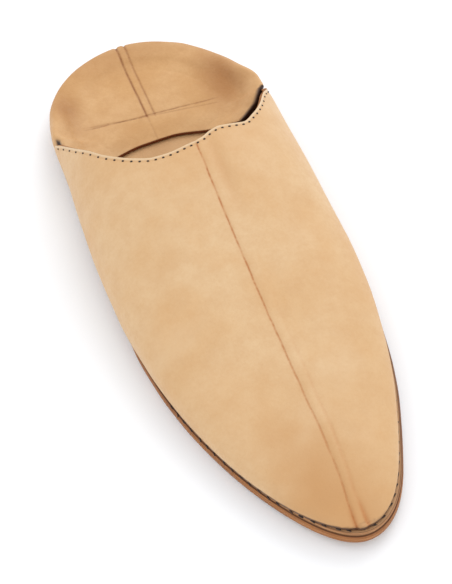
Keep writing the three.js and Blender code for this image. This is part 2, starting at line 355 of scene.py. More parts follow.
class Finish:
    """A material under construction, with a Principled shader waiting to be fed."""

    def __init__(self, name):
        self.material = bpy.data.materials.new(name)
        self.material.use_nodes = True
        self.tree = self.material.node_tree
        self.tree.nodes.clear()

    def node(self, kind, settings=None, sockets=None, out=0):
        """Adds a node: settings first, then the values or links of its input sockets."""
        made = self.tree.nodes.new(kind)
        for key, value in (settings or {}).items():
            setattr(made, key, value)
        for key, value in (sockets or {}).items():
            socket = made.inputs[key]
            if isinstance(value, Wire):
                self.tree.links.new(value.socket, socket)
            else:
                socket.default_value = value
        return Wire(self, made.outputs[out])

    def spot(self):
        """The place on the object, in millimetres."""
        where = self.node("ShaderNodeTexCoord", out="Object")
        settings = {"operation": "SCALE"}
        return self.node("ShaderNodeVectorMath", settings, {0: where, "Scale": 1 / MM})

    def parts(self, vector):
        split = self.node("ShaderNodeSeparateXYZ", None, {0: vector}).socket.node
        return [Wire(self, split.outputs[k]) for k in range(3)]

    def chart(self, name):
        """The two numbers of a UV map, in millimetres."""
        return self.parts(self.node("ShaderNodeUVMap", {"uv_map": name}))[:2]

    def join(self, x=0.0, y=0.0, z=0.0):
        return self.node("ShaderNodeCombineXYZ", None, {0: x, 1: y, 2: z})

    def noise(self, where, size, detail=2.0, rough=0.5):
        """Soft blotches of about this many millimetres, from 0 to 1."""
        sockets = {"Vector": where, "Scale": 1 / size, "Detail": detail, "Roughness": rough}
        return self.node("ShaderNodeTexNoise", None, sockets)

    def pebbles(self, where, size):
        """Distance to the nearest of many scattered points, as on leather grain."""
        settings = {"feature": "SMOOTH_F1"}
        sockets = {"Vector": where, "Scale": 1 / size, "Smoothness": 0.4}
        return self.node("ShaderNodeTexVoronoi", settings, sockets, out="Distance")

    def blend(self, share, one, other):
        """The first colour where share is 0, the second where it is 1."""
        settings = {"data_type": "RGBA", "clamp_factor": True}
        return self.node("ShaderNodeMix", settings, {0: share, 6: one, 7: other}, out=2)

    def coats(self, color, *coats):
        """Lays pairs of (share, colour) over a colour, one after another."""
        for share, over in coats:
            color = self.blend(share, color, over)
        return color

    def finish(self, color, roughness, height, shine=0.5, **fixed):
        """Feeds the shader; height is in millimetres."""
        normal = self.node("ShaderNodeBump", None, {"Strength": 1.0, "Distance": MM, "Height": height})
        fed = {"Base Color": color, "Roughness": roughness, "Normal": normal, **fixed}
        fed["Specular IOR Level"] = shine
        shader = self.node("ShaderNodeBsdfPrincipled", None, fed)
        end = self.tree.nodes.new("ShaderNodeOutputMaterial")
        self.tree.links.new(shader.socket, end.inputs["Surface"])
        return self.material


def rgb(red, green, blue):
    """A colour as it is seen on a screen, 0 to 255, made linear for the shader."""
    seen = np.array([red, green, blue]) / 255
    linear = np.where(seen <= 0.04045, seen / 12.92, ((seen + 0.055) / 1.055) ** 2.4)
    return (*linear.tolist(), 1.0)


print("linear tan", [round(v, 3) for v in rgb(226, 187, 140)])

# %% [markdown]
# ## Natural leather
# Vegetable-tanned leather is pale tan and never one flat colour. It has clouds a few
# centimetres wide where the hide took the tan differently, a finer mottle of a few millimetres,
# and a grain of pores under a millimetre that only shows as a soft break in the shine. All
# three are noises on Object coordinates, so they keep their real size on every piece.

# %% A hide for every piece
CLOUDS, MOTTLE, SPECKS, PORES = 34, 6.5, 1.3, 0.95  # sizes in millimetres


def hide(name, shift):
    """A finish, the place on its hide, clouds, mottle and specks from 0 to 1, and grain in mm."""
    finish = Finish(name)
    spot = finish.spot()
    where = finish.node("ShaderNodeVectorMath", {"operation": "ADD"}, {0: spot, 1: shift})
    clouds = finish.noise(where, CLOUDS, 2, 0.5).step(0.36, 0.66)
    mottle = finish.noise(where, MOTTLE, 4, 0.6).step(0.3, 0.72)
    specks = finish.noise(where, SPECKS, 3, 0.65).step(0.34, 0.7)
    pores = finish.pebbles(where, PORES)
    grain = pores * 0.05 + finish.noise(where, 0.55, 2, 0.6) * 0.03
    return finish, where, clouds, mottle, specks, grain


def tan(finish, clouds, mottle, specks, light, middle, deep):
    """Three tans laid over one another by the masks."""
    return finish.coats(light, (clouds, middle), (mottle * 0.26, deep), (specks * 0.13, deep))


def oval(x, at, x0, at0, wide, long):
    """A soft oval mask about one place, with its half widths across and along the foot."""
    return (x - x0).bell(wide) * (at - at0).bell(long)


print("leather scales", CLOUDS, MOTTLE, SPECKS, PORES, "mm")

# %% [markdown]
# ## The vamp
# The vamp is one piece of leather pulled over a last and folded under at its foot. It could be
# sculpted, but its form is known exactly: at each station along the foot it is a squarish arch
# over a wall that tucks in to the sole. So it is one grid. Rows run from the collar to the toe,
# columns from the left foot over the arch to the right foot. Each column starts where it meets
# the collar's edge, found by halving an interval, so the edge is a clean line of points.

# %% Collar line and arch
COLLAR = rows(
    "x at",
    (-47.7, 57), (-46.8, 63), (-43.3, 75.5), (-38.2, 87), (-34.8, 94), (-30.9, 99.8),
    (-25, 106), (-17.7, 110.2), (-10.8, 111), (-4.2, 110.3), (2.4, 109.2), (7.7, 106.5),
    (12.5, 105.3), (18.9, 105.3), (22, 105.2), (28.5, 100), (35.3, 91), (40.7, 81),
    (44.6, 74.5), (47, 69), (48.2, 64.5), (48.8, 61),
)
MARGIN = 7.0  # leather turned in under the foot
HALVINGS = 36  # enough to place the collar's edge far finer than a point's rounding


def foot_line(at):
    return ground(at) + DECK + GAP


def widest(at):
    """Height of the widest line, lower towards the toe."""
    return foot_line(at) + 5.5 - 3.9 * smooth(170, 265, at)


def arch_x(at, turn):
    """Side place on the arch: a squared cosine of the turn times the half width."""
    cosine = np.cos(turn)
    squareness = 2 / (2.2 + 0.25 * smooth(150, 260, at))
    return np.sign(cosine) * np.abs(cosine) ** squareness * half_width(BODY, cosine, at)


def arch_z(at, turn):
    squareness = 2 / (2.2 + 0.25 * smooth(150, 260, at))
    rise = np.maximum(ridge(at) - widest(at), 0.5)
    return widest(at) + rise * np.abs(np.sin(turn)) ** squareness


def collar_start(turn):
    """Station where a column of the arch meets the collar's edge, by halving."""
    low, high = np.full_like(turn, 50.0), np.full_like(turn, 130.0)
    for _ in range(HALVINGS):
        middle = (low + high) / 2
        short = middle < through(COLLAR["x"], COLLAR["at"], arch_x(middle, turn))
        low, high = np.where(short, middle, low), np.where(short, high, middle)
    return (low + high) / 2


print("collar at the centre", collar_start(np.array([np.pi / 2])).round(1), "mm from the heel")

# %% [markdown]
# Rows and columns are not evenly spaced. They crowd where the leather turns or is pressed: at
# the collar's edge, along the centre crease and round the toe. That keeps fine lines crisp
# without paying for them over the plain sides.

# %% Spacing of the vamp's grid
ROW_LENGTH = 163  # about the distance from the collar to the toe


def crowded_turns():
    """Turns of the arch from the left, pi, to the right, 0: fine steps near the crease."""
    fine = np.arange(0, 0.34, 0.0125)
    coarse = np.linspace(0.34, np.pi / 2, 40)
    half = np.concatenate([fine, coarse])
    return np.pi / 2 + np.concatenate([half[::-1], -half[1:]])


def crowded_rows():
    """Shares of the way from the collar to the toe."""
    fine = [0, 0.25, 0.5, 0.8, 1.15, 1.5, 1.85, 2.2, 2.6, 3.1, 3.7, 4.5, 5.4, 6.5, 7.8, 9.2]
    edge = np.array(fine) / ROW_LENGTH
    body = np.linspace(edge[-1], 0.93, 182)[1:]
    toe = 1 - 0.07 * (1 - np.linspace(0, 1, 28)[1:]) ** 2
    return np.concatenate([edge, body, toe])


turns = crowded_turns()
wall_swing = np.linspace(0, np.pi / 2, 9)[1:]
margin_steps = np.array([0.15, 0.5, 1.0])
side_columns = len(wall_swing) + len(margin_steps)
starts = collar_start(turns)
starts = np.concatenate([np.full(side_columns, starts[0]), starts, np.full(side_columns, starts[-1])])
shares = crowded_rows()
at_grid = starts + (TOE - starts) * shares[:, None]
print("vamp grid", at_grid.shape)

# %% [markdown]
# The wall below the widest line is a quarter of an ellipse that ends level with the sole, and
# the margin runs on inwards from it. Both margins stop just short of the centre plane near the
# toe, so they never cross.

# %% The plain last
def last_surface(at):
    """Rows of points: margin, wall, arch, wall, margin."""
    sides = []
    for side, edge in ((-1, at[:, :side_columns]), (1, at[:, -side_columns:])):
        edge = edge[:, :1]
        width = half_width(BODY, side, edge)
        tuck = np.minimum(4.2 - 3.4 * smooth(110, 190, edge), width / 3)
        drop = widest(edge) - foot_line(edge)
        wall_x = width - tuck * (1 - np.cos(wall_swing))
        wall_z = widest(edge) - drop * np.sin(wall_swing)
        margin_x = np.maximum(width - tuck - MARGIN * margin_steps, np.minimum(0.12, width))
        margin_z = foot_line(edge) + 0 * margin_x
        x = side * np.concatenate([wall_x, margin_x], 1)
        z = np.concatenate([wall_z, margin_z], 1)
        stack = place(x, edge + 0 * x, z)
        sides.append(stack[:, ::-1] if side < 0 else stack)
    arch_at = at[:, side_columns:-side_columns]
    arch = place(arch_x(arch_at, turns), arch_at, arch_z(arch_at, turns))
    return np.concatenate([sides[0], arch, sides[1]], 1)


plain = last_surface(at_grid)
print("plain last from", plain.min((0, 1)).round(1), "to", plain.max((0, 1)).round(1))

# %% [markdown]
# ## Creases
# A babouche is folded flat along its middle to be sold, and the fold never leaves it: a sharp
# line with a low ridge beside it, stronger towards the toe. The rest of the leather carries
# soft hollows where a hand held it. Each is placed in millimetres, with a width and a depth.
# A cloth simulation would not find them, because they come from pressing and not from hanging.

# %% The centre crease and the soft hollows
CREASE = rows(
    "at x",
    (108, 0.4), (116, 0), (150, -1), (200, -1.3), (236, -1.2), (255, -2), (268, -3.4), (276, -4.2),
)
SECOND = rows("at x", (150, 4.6), (185, 3.4), (236, 2.8), (252, 1.9), (261, 0.8), (268, 0.5), (276, 0.2))
# Hollows and swellings of the vamp: x, at, half width across, half length along, height.
HOLLOWS = (
    (-29, 201, 11, 8, -0.55), (-21, 187, 12, 9, 0.35), (-14, 232, 8, 15, -0.35), (15, 245, 8, 14, 0.25),
    (17, 128, 9, 26, 0.45), (6, 124, 3.0, 17, -0.7), (-20, 150, 16, 14, 0.3), (32, 150, 8, 14, -0.7),
    (24, 190, 12, 22, 0.3), (-36, 160, 9, 20, -0.4), (8, 262, 4, 7, 0.2), (-9, 262, 4, 8, 0.25),
    (-30, 122, 12, 9, 0.45), (33, 112, 7, 9, 0.5),
)


def pressed(x, at):
    """Height in millimetres added along the normal: fold line, ridge, second line, toe dents."""
    across = x - through(CREASE["at"], CREASE["x"], at)
    second = x - through(SECOND["at"], SECOND["x"], at)
    toeward = smooth(150, 262, at)
    height = -(0.22 - 0.04 * toeward) * bell(across, 0.5)
    height = height + (0.1 + 0.22 * toeward) * smooth(0.1, 1.6, across) * smooth(0.8, -1.6, second)
    height = height - 0.12 * smooth(190, 250, at) * bell(second, 0.7)
    dents = bell(across + 0.6, 1.1) + bell(second - 0.4, 1.1)
    return height - 0.35 * smooth(264, 272, at) * dents * smooth(276.5, 273, at)


def swellings(table, x, at):
    """Sum of the soft ovals of a table."""
    height = 0 * x
    for x0, at0, wide, long, tall in table:
        height = height + tall * bell(x - x0, wide) * bell(at - at0, long)
    return height


print("deepest press", pressed(np.linspace(-5, 5, 401), np.full(401, 268.0)).min().round(2), "mm")

# %% [markdown]
# The distance from the collar's edge places the stitch line, the wave of the lip and the wear
# along it, so it is measured once on the plain shape, with the length along the edge. The two
# become a UV map, where the shader finds the lip and the stitch line.

# %% Distance from the collar's edge
def measure_from(edge, points):
    """Shortest distance to a line of points, and the length along it at the nearest one."""
    along = np.concatenate([[0], np.cumsum(np.linalg.norm(np.diff(edge, axis=0), axis=1))])
    finer = np.linspace(0, along[-1], 1600)
    fine_edge = np.stack([np.interp(finer, along, edge[:, k]) for k in range(3)], -1)
    flat = points.reshape(-1, 3)
    gap = np.sqrt(((flat[:, None] - fine_edge[None]) ** 2).sum(-1))
    nearest = gap.argmin(1)
    return gap.min(1).reshape(points.shape[:-1]), finer[nearest].reshape(points.shape[:-1])


NEAR_ROWS = 24  # rows of the grid that are measured
BEYOND = 40.0  # the distance given to all others
collar_gap = np.full(at_grid.shape, BEYOND)
collar_run = np.zeros(at_grid.shape)
collar_edge = plain[0, side_columns:-side_columns]
collar_gap[:NEAR_ROWS], collar_run[:NEAR_ROWS] = measure_from(collar_edge, plain[:NEAR_ROWS])
collar_run[NEAR_ROWS:] = collar_run[NEAR_ROWS - 1]
collar_length = np.linalg.norm(np.diff(collar_edge, axis=0), axis=1).sum()
print("collar edge", round(float(collar_length)), "mm long")

# %% [markdown]
# Now the leather is given its life: hollows and swellings move both skins, the press marks only
# the outside. The collar's lip waves in and out a little, and the inside skin lies two
# millimetres in along the normals, less near the toe where the two sides come together.

# %% Shape both skins of the vamp
STITCH_IN = 1.4  # stitch line, in from the collar's edge

x_grid = plain[..., 0] - MIDDLE
plain_normal = grid_normals(plain, ("last",))
upper_part = smooth(3, 9, plain[..., 2] - foot_line(at_grid))
soft = swellings(HOLLOWS, x_grid, at_grid) * upper_part * smooth(276, 262, at_grid)
lip_wave = 0.2 * np.sin(collar_run / 9.5 + 1.0) + 0.12 * np.sin(collar_run / 4.7)
roll = (0.05 + lip_wave) * smooth(7, 0, collar_gap) * upper_part
shaped = plain + plain_normal * (soft + roll)[..., None]
normal = grid_normals(shaped, ("last",))
fine = pressed(x_grid, at_grid) * smooth(0.6, 0.9, plain_normal[..., 2] + smooth(255, 270, at_grid))
stitch_sink = -0.2 * bell(collar_gap - STITCH_IN, 0.5) + 0.06 * bell(collar_gap - 4.4, 1.4)
fine = fine + stitch_sink * upper_part
vamp_out = shaped + normal * fine[..., None]
thickness = 2.0 - 1.1 * smooth(235, 270, at_grid)
vamp_in = shaped - normal * thickness[..., None]
print("vamp moved by", np.abs(soft + roll + fine).max().round(2), "mm at most")

# %% [markdown]
# ## Leather of the vamp
# The fold line shows as a thin orange-brown crack, because the surface is worn through there.
# Beside the collar's cut the skin is paler. At the foot the leather is painted dark brown as painted
# shade in the gap where the upper meets the sole, and painted shade darkens the toe and a soft trough
# beside the crease.
# Each of these is a mask of a UV map that carries millimetres.

# %% Vamp finish
LIGHT_TAN = rgb(221, 187, 144)
MIDDLE_TAN = rgb(215, 176, 129)
DEEP_TAN = rgb(198, 150, 99)
ORANGE = rgb(178, 102, 42)
PALE_LIP = rgb(226, 200, 164)
# Painted shade for the gap at the foot of the upper, where it meets the sole.
GAP_SHADE_BROWN = rgb(64, 31, 14)


def vamp_leather():
    f, where, clouds, mottle, specks, grain = hide("vamp_leather", (0, 0, 0))
    across, at = f.chart("crease")
    second, height = f.chart("foot")
    gap = f.chart("collar")[0]
    wobble = (f.noise(where, 9, 2) - 0.5) * 0.7
    broken = f.noise(where, 5, 3, 0.7).step(0.3, 0.62)
    toeward = at.step(170, 250)
    # The fold: the worn line, a fainter one beside it and the stain they share at the tip.
    line = (across + wobble).bell(0.38) * (0.35 + 0.65 * broken)
    second_line = (second + wobble).bell(0.7) * toeward * (0.3 + 0.5 * broken)
    toe_stain = at.step(264, 273) * (across.bell(1.1) + second.bell(1.0)).clamp()
    crack = line * (0.84 - 0.34 * toeward) + second_line * 0.25 + toe_stain * 0.35
    halo = (across + wobble - 0.2).bell(1.8)
    # Painted shade in a soft trough right of the crease, just in front of the collar.
    trough_shade = oval(across, at, 6, 126, 2.6, 18)
    # Painted shade on the toe, which turns away from the light; darker ovals just in front of the
    # collar and on the left towards the toe; random patches darker and paler.
    toe_shade = oval(across, at, -12, 250, 17, 22) + oval(across, at, 0, 272, 17, 15) * 0.9
    darker_ovals = oval(across, at, 1, 114, 30, 17) * 0.7 + oval(across, at, -24, 214, 14, 17) * 0.4
    patch = f.noise(where, 19, 3, 0.6).step(0.46, 0.8)
    pale = f.noise(where, 27, 2, 0.5).step(0.55, 0.75)
    # Masks at the collar, and at the foot painted shade for the gap where the upper meets the sole.
    lip = gap.step(1.7, 0.3)
    groove = (gap - STITCH_IN).bell(0.5)
    uneven = f.noise(where, 3.0, 3, 0.6) * 0.9
    low = (height - uneven - at.step(185, 205) * 0.9).step(0.9, 0.0)
    color = f.coats(
        tan(f, clouds, mottle, specks, LIGHT_TAN, MIDDLE_TAN, DEEP_TAN),
        (toe_shade * (0.45 + 0.45 * clouds), DEEP_TAN),
        (darker_ovals * (0.7 + 0.5 * clouds), rgb(206, 156, 100)),
        (patch * 0.18, rgb(214, 162, 102)),
        (pale * 0.2, rgb(227, 198, 160)),
        (halo * 0.16, DEEP_TAN),
        (trough_shade * 0.5, DEEP_TAN),
        (crack, ORANGE),
        (lip * 0.7, PALE_LIP),
        (groove * 0.35, DEEP_TAN),
        (low * 0.9, GAP_SHADE_BROWN),
    )
    squeezed = f.node("ShaderNodeVectorMath", {"operation": "MULTIPLY"}, {0: where, 1: (1, 0.35, 1)})
    creped = f.noise(squeezed, 2.6, 3)
    relief = grain + creped * 0.14 + mottle * 0.05 - line * 0.16 - second_line * 0.08
    roughness = 0.5 + specks * 0.1 - lip * 0.05
    return f.finish(color, roughness, relief, 0.4)


def lining_leather():
    """The flesh side: darker and rougher."""
    f, _, clouds, mottle, specks, grain = hide("lining_leather", (40, 0, 0))
    color = tan(f, clouds, mottle, specks, rgb(170, 120, 74), rgb(154, 104, 60), rgb(112, 68, 34))
    relief = grain * 2.0 + specks * 0.08
    return f.finish(color, 0.75, relief, 0.2)


def cut_leather():
    """The cut lip of the collar: fibres, stained a warm brown."""
    f, *_, specks, grain = hide("cut_leather", (0, 0, 50))
    color = f.blend(specks, rgb(176, 122, 76), rgb(128, 78, 42))
    return f.finish(color, 0.8, grain * 3.0, 0.2)


vamp_finish = vamp_leather()
lining_finish = lining_leather()
cut_finish = cut_leather()
print("vamp finish nodes", len(vamp_finish.node_tree.nodes))

# %% [markdown]
# The two skins are joined into one closed shell. Its collar gets a half-round lip instead of a
# square cut, because an edge that catches light along its length reads as thick leather.

# %% Assemble the vamp
def outward_from(points, axis_step):
    """Unit vectors pointing off the sheet at its first (1) or last (-1) row."""
    step = (points[:1] - points[1:2]) if axis_step > 0 else (points[-1:] - points[-2:-1])
    return np.broadcast_to(unit(step), points.shape)


def uv(a, b):
    return np.stack([a, b], -1).reshape(-1, 2)


points, quads, kinds, owner = shell(
    vamp_out, vamp_in, ("first", "start", "end"), {"first": outward_from(vamp_out, 1)}
)
across_grid = x_grid - through(CREASE["at"], CREASE["x"], at_grid)
second_grid = x_grid - through(SECOND["at"], SECOND["x"], at_grid)
height_grid = plain[..., 2] - foot_line(at_grid)
piece(
    "upper_vamp", points, quads, [vamp_finish, lining_finish, cut_finish], "upper_leather", "upper",
    kinds=kinds,
    maps={
        "crease": uv(across_grid, at_grid)[owner],
        "foot": uv(second_grid, height_grid)[owner],
        "collar": uv(collar_gap, collar_run)[owner],
    },
)

# %% [markdown]
# ## Thread
# The collar is sewn with a dark waxed thread. From a step away each stitch is a dark bead in a
# shallow groove, three millimetres from the next at the front and more at the steep sides. One
# bead is a small rounded capsule of a few dozen faces. The whole row is that capsule times an
# array of places and directions: no object is copied and nothing loops over points.

# %% Beads of thread
COLLAR_PITCH, COLLAR_BEAD = 3.05, (1.15, 0.85, 0.7)  # bead: length, width and height
TOE_PITCH, TOE_BEAD = 4.6, (2.3, 0.6, 0.7)


def capsules(centres, along, up, length, width, tall):
    """Rounded capsules: each is a grid of rings whose radius is the square root of 1 - s^4."""
    s = np.linspace(-1, 1, 8)
    turn = np.linspace(0, 2 * np.pi, 9)
    radius = np.sqrt(np.clip(1 - s**4, 0, 1))
    side = np.cross(up, along)
    local = np.stack(np.broadcast_arrays(
        s[:, None] * length / 2,
        radius[:, None] * np.cos(turn) * width / 2,
        radius[:, None] * np.sin(turn) * tall / 2,
    ), -1)
    frame_axes = np.stack([along, side, up], 1)
    points = np.einsum("abk,nkc->nabc", local, frame_axes) + centres[:, None, None]
    one = grid_faces(len(s), len(turn))
    offsets = np.arange(len(centres))[:, None, None] * (len(s) * len(turn))
    return points.reshape(-1, 3), (one[None] + offsets).reshape(-1, 4)


def spaced(line, pitch, start=0.0, end=0.0, counted=(1, 1, 1)):
    """Places along a line of points at even distances, with their directions.

    counted says how much of each direction counts as distance, so that stitches may stand
    wider apart where the line runs steeply.
    """
    step = np.linalg.norm(np.diff(line[:, :3], axis=0) * counted, axis=1)
    run = np.concatenate([[0], np.cumsum(step)])
    at = np.arange(run[0] + start, run[-1] - end, pitch)

    def read(v):
        return np.stack([np.interp(v, run, line[:, k]) for k in range(line.shape[1])], -1)

    return read(at), unit(read(at + 0.6)[:, :3] - read(at - 0.6)[:, :3])


def across_distance(surface, normals, gap, wanted):
    """The line on a grid where the distance from its edge reaches a value, column by column."""
    i = np.argmax(gap >= wanted, axis=0)
    j = np.arange(gap.shape[1])
    share = (wanted - gap[i - 1, j]) / np.maximum(gap[i, j] - gap[i - 1, j], 1e-6)
    both = np.concatenate([surface, normals], -1)
    return both[i - 1, j] + (both[i, j] - both[i - 1, j]) * share[:, None]


def thread_finish():
    f = Finish("waxed_thread")
    where = f.spot()
    fibre = f.noise(where, 0.35, 3, 0.6)
    wear = f.noise(where, 6.0, 2).step(0.4, 0.7)
    color = f.blend(wear * 0.5, rgb(42, 24, 14), rgb(82, 48, 26))
    return f.finish(color, 0.6, fibre * 0.12)


thread = thread_finish()
stitch_line = across_distance(vamp_out, normal, collar_gap, STITCH_IN)[side_columns + 4:-side_columns - 4]
seat, along = spaced(stitch_line, COLLAR_PITCH, 1.5, 1.5, (1, 0.45, 0.3))
random = np.random.default_rng(7)
random.uniform(0.85, 1.15, len(seat))  # not used: it only keeps the later draws what they are
up = unit(seat[:, 3:])
along = unit(along - up * (along * up).sum(-1, keepdims=True))
bead_points, bead_quads = capsules(seat[:, :3], along, up, *COLLAR_BEAD)
piece("collar_stitch", bead_points, bead_quads, [thread], "upper_leather")
print(len(seat), "stitches on the collar")

# %% [markdown]
# ## The quarter, trodden down
# A babouche's heel is not cut away. It is a low wall whose top is folded in and trodden flat,
# so the slipper is worn as a mule. Walking round the heel, one section tells the whole shape:
# up the wall, round a soft rim, and down on to the insole. That section is carried round the
# heel's outline, and the flat part runs straight across from one side to the other. Row 0 is
# the middle of the heel, where the left and the right half of the row lie on one another.

# %% Section and outline of the quarter
PROFILE = rows(
    "inset z",
    (3.8, 0), (1.7, 1.6), (0.5, 3.6), (0, 5.2), (0.5, 6.8), (1.9, 8.1), (3.9, 8.6), (6.4, 8.1),
    (9.4, 6.7), (13, 5.3), (18, 4.5),
)
FLAP = rows(
    "x at",
    (-60, 79), (-38, 76), (-25, 69.2), (-11, 66.2), (2, 65.8), (16, 68.8), (36, 76), (60, 79),
)
HEEL_MIDDLE = 60.0  # the section swings about this station
QUARTER_END = 80.0
# Stations follow a cosine about a far one, so that the rows crowd round the heel.
FAR = 100.0
FAR_RADIUS = FAR - HEEL_END
# By side: the station forward of which the wall stands inside the vamp, its step inwards there,
# the step's growth from 62 and from 70 mm on, and how far out and up the crest stands.
SIDES = {-1: (55.9, 2.3, 0.3, 0.0, 1.8, 0.4), 1: (60.2, 2.4, 0.5, 0.45, 2.3, -0.3)}

step = np.hypot(np.diff(PROFILE["inset"]), np.diff(PROFILE["z"]))
reach = np.concatenate([[0], np.cumsum(step)])
section = np.linspace(0, reach[-1], 34)
section_inset = through(reach, PROFILE["inset"], section)
section_z = through(reach, PROFILE["z"], section)
share = np.linspace(0, 1, 141)
half_turn = np.arccos((FAR - QUARTER_END) / FAR_RADIUS) * (0.25 * share + 0.75 * share**2)


def heel_side(side):
    """One side as rows round the heel and columns from the foot of the wall to the flat."""
    cut, tuck, early, late, out, up = SIDES[side]
    turn = half_turn[:, None]
    at = FAR - FAR_RADIUS * np.cos(turn)
    starts = 53.8 if side < 0 else 58.4 + 1.6 * smooth(5.2, 8.1, section_z)
    tucked = tuck * smooth(0, 2.4, at - starts)
    tucked = tucked + early * np.clip(at - 62, 0, None) + late * np.clip(at - 70, 0, None)
    stand = smooth(38, 53, at) * smooth(6.8, 8.6, section_z)
    inset = section_inset - out * stand
    x = side * np.maximum(half_width(BODY, side, at) - tucked, 0) * (turn > 0)
    length = np.hypot(x, at - HEEL_MIDDLE)
    wave = 0.35 * np.sin(at / 5.3 + side) * smooth(10, 30, at) + 0.25 * np.sin(at / 2.9)
    keep = (length - inset - wave * smooth(2, 6, section_inset)) / length
    z = np.maximum(section_z, 3.4 * smooth(cut - 0.6, cut + 0.8, at))
    rise = 3.5 * smooth(15, 58, at) - 1.5 * smooth(46, 18, at) - 2.5 * smooth(62, 76, at)
    z = z + smooth(6, 9, section_z) * rise + up * stand
    station = HEEL_MIDDLE + (at - HEEL_MIDDLE) * keep
    return x * keep, station, z + foot_line(station)


# %% [markdown]
# Across the flat, columns crowd over the two pressed lines. From about the cross crease on, the
# rows of the flat are moved more and more, so that the last row lies on the cut free edge. The
# wall follows only near its end.

# %% The whole quarter as one grid
def across_flat(left, right, count=96):
    """Share 0 to 1 across a row, crowded where x is between -7 and 4 mm."""
    s = np.linspace(0, 1, count)
    low, high = np.maximum(-7, 0.8 * left), np.minimum(4, 0.8 * right)
    stops = np.stack([left, low, high, right], -1)
    k = np.array([0, 0.3, 0.7, 1])
    i = np.clip(np.searchsorted(k, s, side="right") - 1, 0, 2)
    part = (s - k[i]) / (k[i + 1] - k[i])
    return stops[:, i] + (stops[:, i + 1] - stops[:, i]) * part


left, right = heel_side(-1), heel_side(1)
(x0, at0, z0), (x1, at1, z1) = ([v[:, -1:] for v in half] for half in (left, right))
flat_x = across_flat(x0[:, 0], x1[:, 0])
mix = (flat_x - x0) / np.maximum(x1 - x0, 1e-9)
flat = (flat_x, at0 + (at1 - at0) * mix, z0 + (z1 - z0) * mix)
q_x, q_at, q_z = (
    np.concatenate([l, f[:, 1:-1], r[:, ::-1]], 1) for l, f, r in zip(left, flat, right)
)
ring_share = smooth(7, 14, section_inset)
up_share = np.concatenate([ring_share, np.ones(flat_x.shape[1] - 2), ring_share[::-1]])
held = 64 - 18 * up_share
drawn = np.clip((q_at - held) / (q_at[-1] - held), 0, 1)
q_at = q_at + drawn * (through(FLAP["x"], FLAP["at"], q_x[-1]) - q_at[-1])
print("quarter grid", q_x.shape)

# %% [markdown]
# The trodden leather is not a board. It is padded up a little between the press marks, sinks
# beside the right rim where the fold pulls it, and its free edge is pared thin.

# %% Relief of the quarter
PADS = (
    (-19, 36, 9, 12, 0.9), (18, 34, 10, 12, 1.0), (-22, 60, 12, 5, 0.45), (16, 60, 12, 5, 0.4),
    (38, 44, 4.5, 13, -0.6), (34, 58, 5, 6, -0.4), (-34, 31, 4, 9, -0.4), (38, 60, 4, 7, 0.5),
    (24, 15, 6, 4, 0.4), (-22, 14, 6, 4, 0.35), (30, 28, 5, 6, 0.5),
)
# Pressed lines of the quarter: x or at as a line through two places, then its reach.
LONG_LINES = ((-2.7, 3.0, -3.8, 64.4), (1.2, 3.0, 0.0, 51.5))
CROSS_LINES = ((-31, 48.2, 30, 52.6), (-31, 46.9, 4.0, 51.9))


def long_line(x, at, k):
    x0, at0, x1, at1 = LONG_LINES[k]
    return x - (x0 + (at - at0) * (x1 - x0) / (at1 - at0))


def cross_line(x, at, k):
    x0, at0, x1, at1 = CROSS_LINES[k]
    return at - (at0 + (x - x0) * (at1 - at0) / (x1 - x0))


def quarter_relief(x, at):
    height = swellings(PADS, x, at)
    one, two = long_line(x, at, 0), long_line(x, at, 1)
    behind = smooth(56, 50, at)
    height = height - 0.26 * bell(one, 0.55) * (0.35 + 0.65 * behind) - 0.22 * bell(two, 0.55) * behind
    height = height + 0.12 * smooth(-0.2, 1.2, one) * smooth(0.2, -1.2, two) * behind
    height = height - 0.3 * (bell(one, 0.8) + 0.9 * bell(two, 0.7)) * smooth(10, 4, at)
    height = height - 0.26 * bell(cross_line(x, at, 0), 0.7) * smooth(34, 26, np.abs(x + 1))
    height = height - 0.14 * bell(cross_line(x, at, 1), 0.7) * smooth(-36, -28, x) * smooth(8, 0, x)
    return height


edge_gap = through(FLAP["x"], FLAP["at"], q_x) - q_at
skived = smooth(9, 0, edge_gap) * smooth(46, 38, np.abs(q_x))  # the free edge is pared thin
q_plain = place(q_x, q_at, q_z)
up_share = up_share[:, None]


def lifted(points):
    """Normals, turned straight up over the flat, where rows meet in the middle of the heel."""
    return unit(grid_normals(points, ("first",)) * (1 - up_share) + np.array([0, 0, 1]) * up_share)


q_normal = lifted(q_plain)
on_top = smooth(3.2, 6.5, q_z - foot_line(q_at))
q_move = quarter_relief(q_x, q_at) * on_top - 0.5 * skived
quarter_out = q_plain + q_normal * q_move[..., None]
quarter_in = quarter_out - lifted(quarter_out) * (1.9 - 0.6 * skived)[..., None]
q_climb = np.concatenate([section, np.full(flat_x.shape[1] - 2, section[-1]), section[::-1]]) + 0 * q_x
print("quarter relief", q_move.min().round(2), "to", q_move.max().round(2), "mm")
